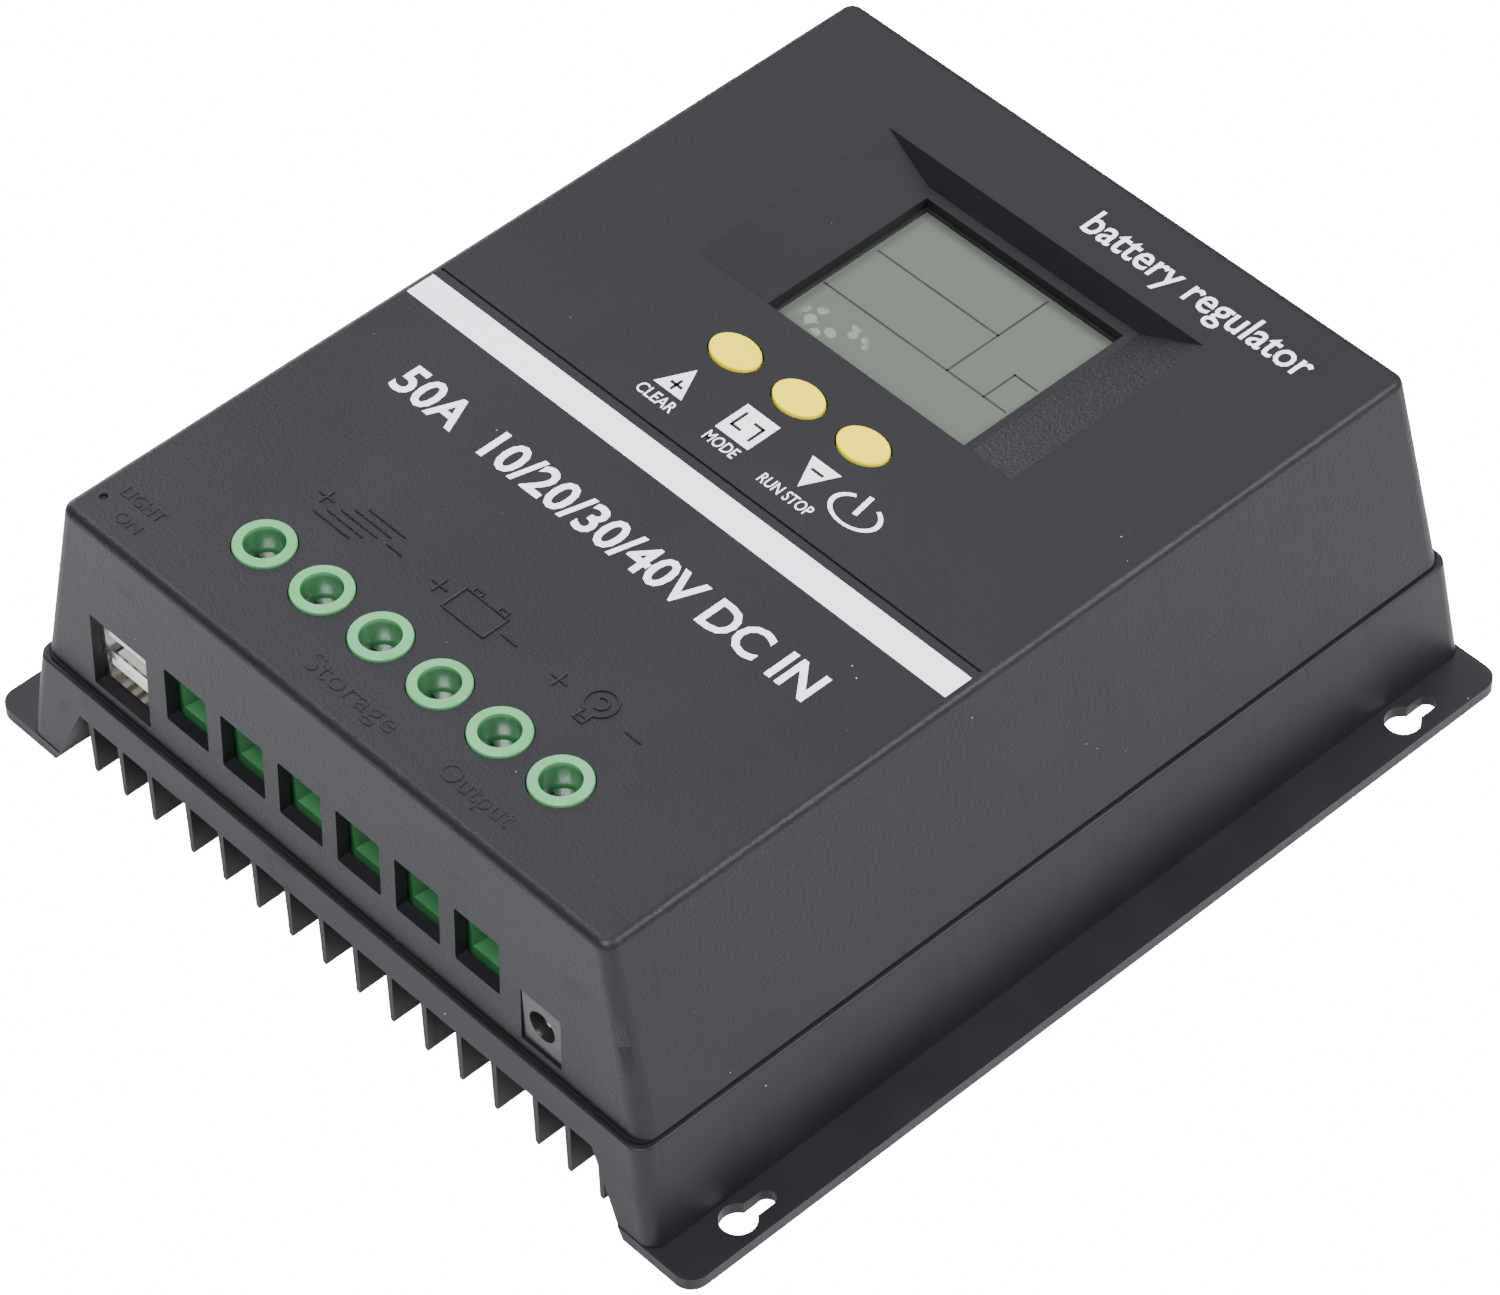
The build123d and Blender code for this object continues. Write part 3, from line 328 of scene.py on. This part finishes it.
# %% Build the grain, dust and rub groups
def new_group(name, inputs, outputs):
    """A shader group with named number inputs and named number outputs."""
    group = bpy.data.node_groups.new(name, "ShaderNodeTree")
    for label, value in inputs.items():
        socket = group.interface.new_socket(label, in_out="INPUT", socket_type="NodeSocketFloat")
        socket.default_value = value
    for label in outputs:
        group.interface.new_socket(label, in_out="OUTPUT", socket_type="NodeSocketFloat")
    return group, group.nodes.new("NodeGroupInput"), group.nodes.new("NodeGroupOutput")


def noise(tree, coordinates, scale, detail=2.0):
    """A noise texture on the given coordinates. The scale is a number or a socket."""
    node = tree.nodes.new("ShaderNodeTexNoise")
    node.inputs["Detail"].default_value = detail
    tree.links.new(coordinates, node.inputs["Vector"])
    if isinstance(scale, (int, float)):
        node.inputs["Scale"].default_value = scale
    else:
        tree.links.new(scale, node.inputs["Scale"])
    return node.outputs["Fac"]


def spread(tree, value, low, high, new_low=0.0, new_high=1.0):
    """Stretch a stretch of values onto another one, smoothly."""
    node = tree.nodes.new("ShaderNodeMapRange")
    node.interpolation_type = "SMOOTHSTEP"
    for label, number in (("From Min", low), ("From Max", high), ("To Min", new_low), ("To Max", new_high)):
        node.inputs[label].default_value = number
    tree.links.new(value, node.inputs["Value"])
    return node.outputs["Result"]


def combine(tree, operation, first, second):
    """A math node on two sockets or numbers."""
    node = tree.nodes.new("ShaderNodeMath")
    node.operation = operation
    for socket, value in zip(node.inputs, (first, second)):
        if isinstance(value, (int, float)):
            socket.default_value = value
        else:
            tree.links.new(value, socket)
    return node.outputs["Value"]


grain_inputs = {"Grain Scale": 2500, "Mottle Scale": 30}
grain_group, grain_in, grain_out = new_group("Grain", grain_inputs, ["Height", "Mottle"])
place = grain_group.nodes.new("ShaderNodeTexCoord").outputs["Object"]
coarse = noise(grain_group, place, grain_in.outputs["Grain Scale"], 3.0)
mottle = noise(grain_group, place, grain_in.outputs["Mottle Scale"], 4.0)
grain_group.links.new(coarse, grain_out.inputs["Height"])
grain_group.links.new(spread(grain_group, mottle, 0.3, 0.7), grain_out.inputs["Mottle"])

dust_group, dust_in, dust_out = new_group("Dust", {"Dust Scale": 320, "Amount": 0.035}, ["Mask"])
place = dust_group.nodes.new("ShaderNodeTexCoord").outputs["Object"]
cells = dust_group.nodes.new("ShaderNodeTexVoronoi")
dust_group.links.new(place, cells.inputs["Vector"])
dust_group.links.new(dust_in.outputs["Dust Scale"], cells.inputs["Scale"])
near = combine(dust_group, "LESS_THAN", cells.outputs["Distance"], dust_in.outputs["Amount"])
patches = spread(dust_group, noise(dust_group, place, 60), 0.6, 0.66)
dust_group.links.new(combine(dust_group, "MULTIPLY", near, patches), dust_out.inputs["Mask"])

rub_group, rub_in, rub_out = new_group("Rub", {"Rub Scale": 90}, ["Mask"])
place = rub_group.nodes.new("ShaderNodeTexCoord").outputs["Object"]
turn = rub_group.nodes.new("ShaderNodeMapping")
turn.inputs["Rotation"].default_value = (0.2, 0.1, 0.6)
turn.inputs["Scale"].default_value = (1.0, 9.0, 1.0)
rub_group.links.new(place, turn.inputs["Vector"])
streaks = noise(rub_group, turn.outputs["Vector"], rub_in.outputs["Rub Scale"], 5.0)
rub_group.links.new(spread(rub_group, streaks, 0.55, 0.75), rub_out.inputs["Mask"])
print("groups:", [group.name for group in bpy.data.node_groups])

# %% [markdown]
# ## One recipe for many finishes
# Most finishes differ in colour, gloss and grain but are built the same way: two close colours
# mixed by the mottle, dust specks on top, roughness that wanders with the rub marks, and a bump
# from the grain. A function keeps that recipe in one place.

# %% Write the recipe
finishes = {}


def use(tree, group, **values):
    """Place a shared group in a material with its own values."""
    node = tree.nodes.new("ShaderNodeGroup")
    node.node_tree = group
    for label, value in values.items():
        node.inputs[label.replace("_", " ")].default_value = value
    return node


def blend(tree, mask, first, second):
    """Mix two colours by a mask. A colour is a socket or four numbers."""
    node = tree.nodes.new("ShaderNodeMix")
    node.data_type = "RGBA"
    tree.links.new(mask, node.inputs["Factor"])
    for socket, colour in ((node.inputs["A"], first), (node.inputs["B"], second)):
        if isinstance(colour, tuple):
            socket.default_value = colour
        else:
            tree.links.new(colour, socket)
    return node.outputs["Result"]


def finish(slot, colour, second, rough, rough_change=0.08, grain=2500, mottle=30, bump=0.1, depth=0.02,
           metal=0.0, dust=0.0, coat=0.0, shine=0.5):
    """A Principled material for one slot. depth is the grain's height in millimetres."""
    material = bpy.data.materials.new(slot)
    material.use_nodes = True
    tree = material.node_tree
    shader = tree.nodes["Principled BSDF"]
    surface = use(tree, grain_group, Grain_Scale=grain, Mottle_Scale=mottle)
    tint = blend(tree, surface.outputs["Mottle"], (*colour, 1), (*second, 1))
    if dust:
        specks = use(tree, dust_group, Dust_Scale=dust)
        tint = blend(tree, specks.outputs["Mask"], tint, (0.5, 0.5, 0.5, 1))
    tree.links.new(tint, shader.inputs["Base Color"])
    rub = use(tree, rub_group)
    gloss = spread(tree, rub.outputs["Mask"], 0, 1, rough, rough + rough_change)
    tree.links.new(gloss, shader.inputs["Roughness"])
    shader.inputs["Metallic"].default_value = metal
    shader.inputs["Coat Weight"].default_value = coat
    shader.inputs["Specular IOR Level"].default_value = shine
    relief = tree.nodes.new("ShaderNodeBump")
    relief.inputs["Strength"].default_value = bump
    relief.inputs["Distance"].default_value = depth * mm
    tree.links.new(surface.outputs["Height"], relief.inputs["Height"])
    tree.links.new(relief.outputs["Normal"], shader.inputs["Normal"])
    finishes[slot] = material
    return tree, shader, tint


# %% [markdown]
# ## Plastic, paint and rubber
# The cover is black plastic with a fine eroded texture, and the casting below has a smoother satin
# paint. The seal is dull rubber, the buttons are yellow, and the stripe and ink are nearly white.

# %% Mix the outer finishes
finish("cover_plastic", (0.009, 0.009, 0.0105), (0.011, 0.011, 0.0125), 0.44, 0.06, 1600, 40, 1.0, 0.09,
       dust=300, shine=0.25)
finish("heatsink_paint", (0.009, 0.009, 0.0105), (0.012, 0.012, 0.0135), 0.42, 0.08, 1300, 55, 0.3, 0.03,
       dust=260, shine=0.25)
finish("seal_rubber", (0.004, 0.004, 0.0045), (0.006, 0.006, 0.0065), 0.6, 0.1, 1500, 90, 0.3, 0.02,
       shine=0.2)
finish("stripe_white", (0.9, 0.93, 1.0), (0.93, 0.96, 1.0), 0.38, 0.1, 1500, 60, 0.15, 0.01)
finish("button_yellow", (0.98, 0.74, 0.0), (1.0, 0.78, 0.0), 0.45, 0.1, 1400, 150, 0.15, 0.015, shine=0.15)
finish("jack_black", (0.012, 0.012, 0.012), (0.018, 0.018, 0.018), 0.3, 0.15, 900, 120, 0.2, 0.02)
finish("tongue_white", (0.68, 0.68, 0.65), (0.75, 0.75, 0.72), 0.45, 0.1, 1500, 200, 0.1, 0.01)

# %% [markdown]
# ## Green terminals, paler on their rings
# The terminal blocks are glossy green plastic. The rings that stand through the cover look much
# paler than the bores and the blocks behind the windows, because of how the light falls on one plastic.
# Lamps alone didn't give the difference, so here the height of a point sets how pale the green is:
# the pale rings are painted light, and the darker green below them is painted shade.

# %% Mix the terminal finish
def height_mask(tree, low, high):
    """0 below one height and 1 above another, in millimetres from the cover's top face."""
    place = tree.nodes.new("ShaderNodeTexCoord").outputs["Object"]
    parts = tree.nodes.new("ShaderNodeSeparateXYZ")
    tree.links.new(place, parts.inputs["Vector"])
    return spread(tree, parts.outputs["Z"], cover_top + low * mm, cover_top + high * mm)


tree, shader, tint = finish("terminal_green", (0.03, 0.13, 0.045), (0.04, 0.16, 0.055), 0.32, 0.1, 1200, 120,
                            0.12, 0.02, coat=0.1)
# Painted light: above the cover's top face the green turns pale, a painted highlight on the rings. Below it
# the darker green is painted shade in the bores and behind the windows.
painted_light_mottle = tree.nodes["Group"].outputs["Mottle"]
pale = blend(tree, painted_light_mottle, (0.085, 0.31, 0.11, 1), (0.105, 0.36, 0.135, 1))
tree.links.new(blend(tree, height_mask(tree, -0.6, 0.2), tint, pale), shader.inputs["Base Color"])

# %% [markdown]
# ## Metals
# Steel, brass, gold and copper are fully metallic, so their colour is the colour of their
# reflection. The mottle keeps that colour from being even, and the rub marks make the gloss wander.

# %% Mix the metals
finish("clamp_steel", (0.5, 0.5, 0.5), (0.6, 0.6, 0.58), 0.32, 0.2, 700, 200, 0.2, 0.02, metal=1)
finish("screw_steel", (0.55, 0.55, 0.56), (0.66, 0.66, 0.64), 0.25, 0.2, 600, 250, 0.25, 0.02, metal=1)
finish("busbar_metal", (0.6, 0.55, 0.42), (0.68, 0.63, 0.5), 0.3, 0.2, 600, 150, 0.2, 0.02, metal=1)
finish("spacer_brass", (0.62, 0.45, 0.18), (0.7, 0.52, 0.24), 0.28, 0.2, 900, 150, 0.2, 0.01, metal=1)
finish("socket_steel", (0.74, 0.72, 0.68), (0.82, 0.8, 0.76), 0.18, 0.2, 500, 160, 0.15, 0.01, metal=1)
finish("contact_gold", (0.72, 0.5, 0.2), (0.8, 0.58, 0.26), 0.25, 0.15, 900, 200, 0.15, 0.01, metal=1)
finish("bezel_black", (0.01, 0.01, 0.01), (0.016, 0.016, 0.017), 0.3, 0.15, 1000, 90, 0.2, 0.01)
finish("core_ferrite", (0.05, 0.06, 0.05), (0.09, 0.1, 0.08), 0.6, 0.15, 900, 120, 0.5, 0.05)
finish("winding_copper", (0.45, 0.16, 0.06), (0.55, 0.22, 0.08), 0.25, 0.15, 500, 90, 0.1, 0.01, metal=1,
       coat=0.3)

# %% [markdown]
# ## Inner pieces
# The board and its parts hardly show from outside, but the model may be opened or cut away. They
# get the same recipe with the colours such parts usually have.

# %% Mix the inner finishes
finish("board_laminate", (0.01, 0.09, 0.04), (0.015, 0.13, 0.055), 0.3, 0.15, 500, 300, 0.3, 0.02, coat=0.3)
finish("lamp_green", (0.35, 0.6, 0.3), (0.45, 0.7, 0.4), 0.3, 0.1, 1500, 200, 0.1, 0.01)
finish("panel_white", (0.78, 0.8, 0.78), (0.84, 0.86, 0.84), 0.5, 0.1, 1500, 90, 0.1, 0.01)
finish("component_black", (0.014, 0.014, 0.015), (0.02, 0.02, 0.021), 0.5, 0.15, 1300, 150, 0.3, 0.02)
finish("pad_grey", (0.3, 0.32, 0.35), (0.36, 0.38, 0.4), 0.7, 0.1, 900, 120, 0.3, 0.02)
finish("capacitor_blue", (0.02, 0.03, 0.09), (0.025, 0.04, 0.12), 0.3, 0.1, 700, 60, 0.15, 0.02)
finish("fuse_ceramic", (0.7, 0.68, 0.62), (0.76, 0.74, 0.68), 0.25, 0.1, 1500, 120, 0.1, 0.01)
finish("pipe_clear", (0.012, 0.014, 0.013), (0.02, 0.022, 0.02), 0.15, 0.1, 1500, 120, 0.05, 0.01)

# %% [markdown]
# ## The display glass
# The display is a grey-green glass over a polariser, with a glossy face. A protective film still
# lies on one corner and has lifted in small blisters, which show as paler rounded patches.

# %% Mix the display finish
tree, shader, tint = finish("lcd_face", (0.08, 0.09, 0.07), (0.088, 0.098, 0.078), 0.25, 0.01, 400, 25,
                           0.02, 0.01, shine=0.3)
place = tree.nodes.new("ShaderNodeTexCoord").outputs["Object"]
centred = tree.nodes.new("ShaderNodeMapping")
centred.inputs["Location"].default_value = (13.0 * mm, -33.5 * mm * 2.2, 0)
centred.inputs["Scale"].default_value = (1.0, 2.2, 0.0)
tree.links.new(place, centred.inputs["Vector"])
reach = tree.nodes.new("ShaderNodeVectorMath")
reach.operation = "LENGTH"
tree.links.new(centred.outputs["Vector"], reach.inputs[0])
region = spread(tree, reach.outputs["Value"], 6 * mm, 8.5 * mm, 1, 0)
flat = tree.nodes.new("ShaderNodeMapping")
flat.inputs["Scale"].default_value = (1.0, 1.0, 0.0)
tree.links.new(place, flat.inputs["Vector"])
blisters = tree.nodes.new("ShaderNodeTexVoronoi")
blisters.inputs["Scale"].default_value = 340
tree.links.new(flat.outputs["Vector"], blisters.inputs["Vector"])
round_patches = spread(tree, blisters.outputs["Distance"], 0.36, 0.44, 1, 0)
lifted = combine(tree, "MULTIPLY", region, round_patches)
pale = blend(tree, combine(tree, "MULTIPLY", lifted, 0.8), tint, (0.2, 0.21, 0.185, 1))
tree.links.new(pale, shader.inputs["Base Color"])

# %% [markdown]
# ## Giving out the finishes
# The record says which slot each CAD node belongs to, and each new piece is given a slot in
# the table below.

# %% Assign every material
slot_of = {part["node"]: part["material_slot"] for part in frame["record"]["subparts"]}
new_pieces = {title_print: "stripe_white", rating_print: "stripe_white", caption_print: "stripe_white",
              symbol_print: "stripe_white", sign_print: "cover_plastic", raised_marks: "cover_plastic",
              display_lines: "component_black"}


def dress(piece, slot):
    piece.data.materials.clear()
    piece.data.materials.append(finishes[slot])


for name, node in frame["nodes"].items():
    for holder in node.material_slots:
        holder.material = finishes[slot_of[name]]
for piece, slot in new_pieces.items():
    dress(piece, slot)
print("finishes used:", len(finishes))

# %% [markdown]
# ## The studio
# The object stands on a white table, burnt out to pure white behind it. A Light Path node makes the
# table glow for the eye only, so its real bounce light on the walls stays soft. No lamp hangs low in
# front, so the slope of the display recess that faces forward stays nearly black.

# %% Lay the table
deselect()
bpy.ops.mesh.primitive_plane_add(size=6)
table = bpy.context.object
table.name = "studio_table"
paper = bpy.data.materials.new("table_paper")
paper.use_nodes = True
tree = paper.node_tree
shader = tree.nodes["Principled BSDF"]
shader.inputs["Roughness"].default_value = 0.7
place = tree.nodes.new("ShaderNodeTexCoord").outputs["Object"]
fleck = noise(tree, place, 300)
white = blend(tree, fleck, (0.86, 0.86, 0.86, 1), (0.9, 0.9, 0.9, 1))
tree.links.new(white, shader.inputs["Base Color"])
sight = tree.nodes.new("ShaderNodeLightPath")
glow = blend(tree, sight.outputs["Is Camera Ray"], (0, 0, 0, 1), (1, 1, 1, 1))
tree.links.new(glow, shader.inputs["Emission Color"])
shader.inputs["Emission Strength"].default_value = 18
table.data.materials.append(paper)

# %% [markdown]
# ## Lights
# Large square lamps give soft edges to the highlights. Dark plastic shows mostly what it mirrors,
# so each lamp is placed for the face that mirrors it: the top, its front edge, the left slope of
# the recess, the right slope, and the prints.

# %% Hang the lights
def soft_box(name, place, aim, size, power):
    """A square lamp that faces the aim point."""
    lamp = bpy.data.lights.new(name, "AREA")
    lamp.size = size
    lamp.energy = power
    lamp.color = (0.94, 0.96, 1.0)
    holder = bpy.data.objects.new(name, lamp)
    bpy.context.collection.objects.link(holder)
    holder.location = place
    holder.rotation_euler = (Vector(place) - Vector(aim)).to_track_quat("Z", "Y").to_euler()
    return holder


soft_box("back_box", (-0.35, 0.75, 1.05), (0, 0, 0.03), 1.0, 6)
soft_box("edge_box", (-0.6, 0.05, 0.95), (0, 0, 0.03), 0.3, 5)
soft_box("right_box", (0.78, 0.62, 0.93), (0, 0, 0.03), 0.6, 20)
soft_box("left_box", (-1.4, 0.35, 0.3), (0, 0, 0.03), 0.7, 12)
soft_box("front_box", (0.4, -0.75, 1.4), (0, 0, 0.03), 0.8, 42)
world = bpy.data.worlds.new("studio_air")
bpy.context.scene.world = world
world.use_nodes = True
air = world.node_tree
dim = air.nodes["Background"]
dim.inputs["Color"].default_value = (0.9, 0.93, 1.0, 1)
dim.inputs["Strength"].default_value = 0.2
bright = air.nodes.new("ShaderNodeBackground")
bright.inputs["Color"].default_value = (1, 1, 1, 1)
bright.inputs["Strength"].default_value = 18
sight = air.nodes.new("ShaderNodeLightPath")
choose = air.nodes.new("ShaderNodeMixShader")
air.links.new(sight.outputs["Is Camera Ray"], choose.inputs["Fac"])
air.links.new(dim.outputs["Background"], choose.inputs[1])
air.links.new(bright.outputs["Background"], choose.inputs[2])
air.links.new(choose.outputs["Shader"], air.nodes["World Output"].inputs["Surface"])

# %% [markdown]
# ## The camera
# A long lens from above the near right corner. The camera is placed by its turn round the object,
# its height angle, a small roll, and its distance from the point it looks at.

# %% Set up the camera
turn, height, roll = math.radians(48.02), math.radians(46.76), math.radians(-1.53)
aim = Vector((6.98 * mm, -5.57 * mm, 22.05 * mm))
distance = 1.0613
away = Vector((math.sin(turn) * math.cos(height), -math.cos(turn) * math.cos(height), math.sin(height)))
level = Vector((math.cos(turn), math.sin(turn), 0))
upward = away.cross(level)
side = level * math.cos(roll) + upward * math.sin(roll)
upright = upward * math.cos(roll) - level * math.sin(roll)
lens = bpy.data.cameras.new("main_camera")
lens.sensor_fit = "HORIZONTAL"
lens.sensor_width = 36
lens.lens = 152.4
lens.clip_start = 0.01
camera = bpy.data.objects.new("main_camera", lens)
bpy.context.collection.objects.link(camera)
columns = Matrix((side, upright, away)).transposed()
camera.matrix_world = Matrix.Translation(aim + away * distance) @ columns.to_4x4()
bpy.context.scene.camera = camera
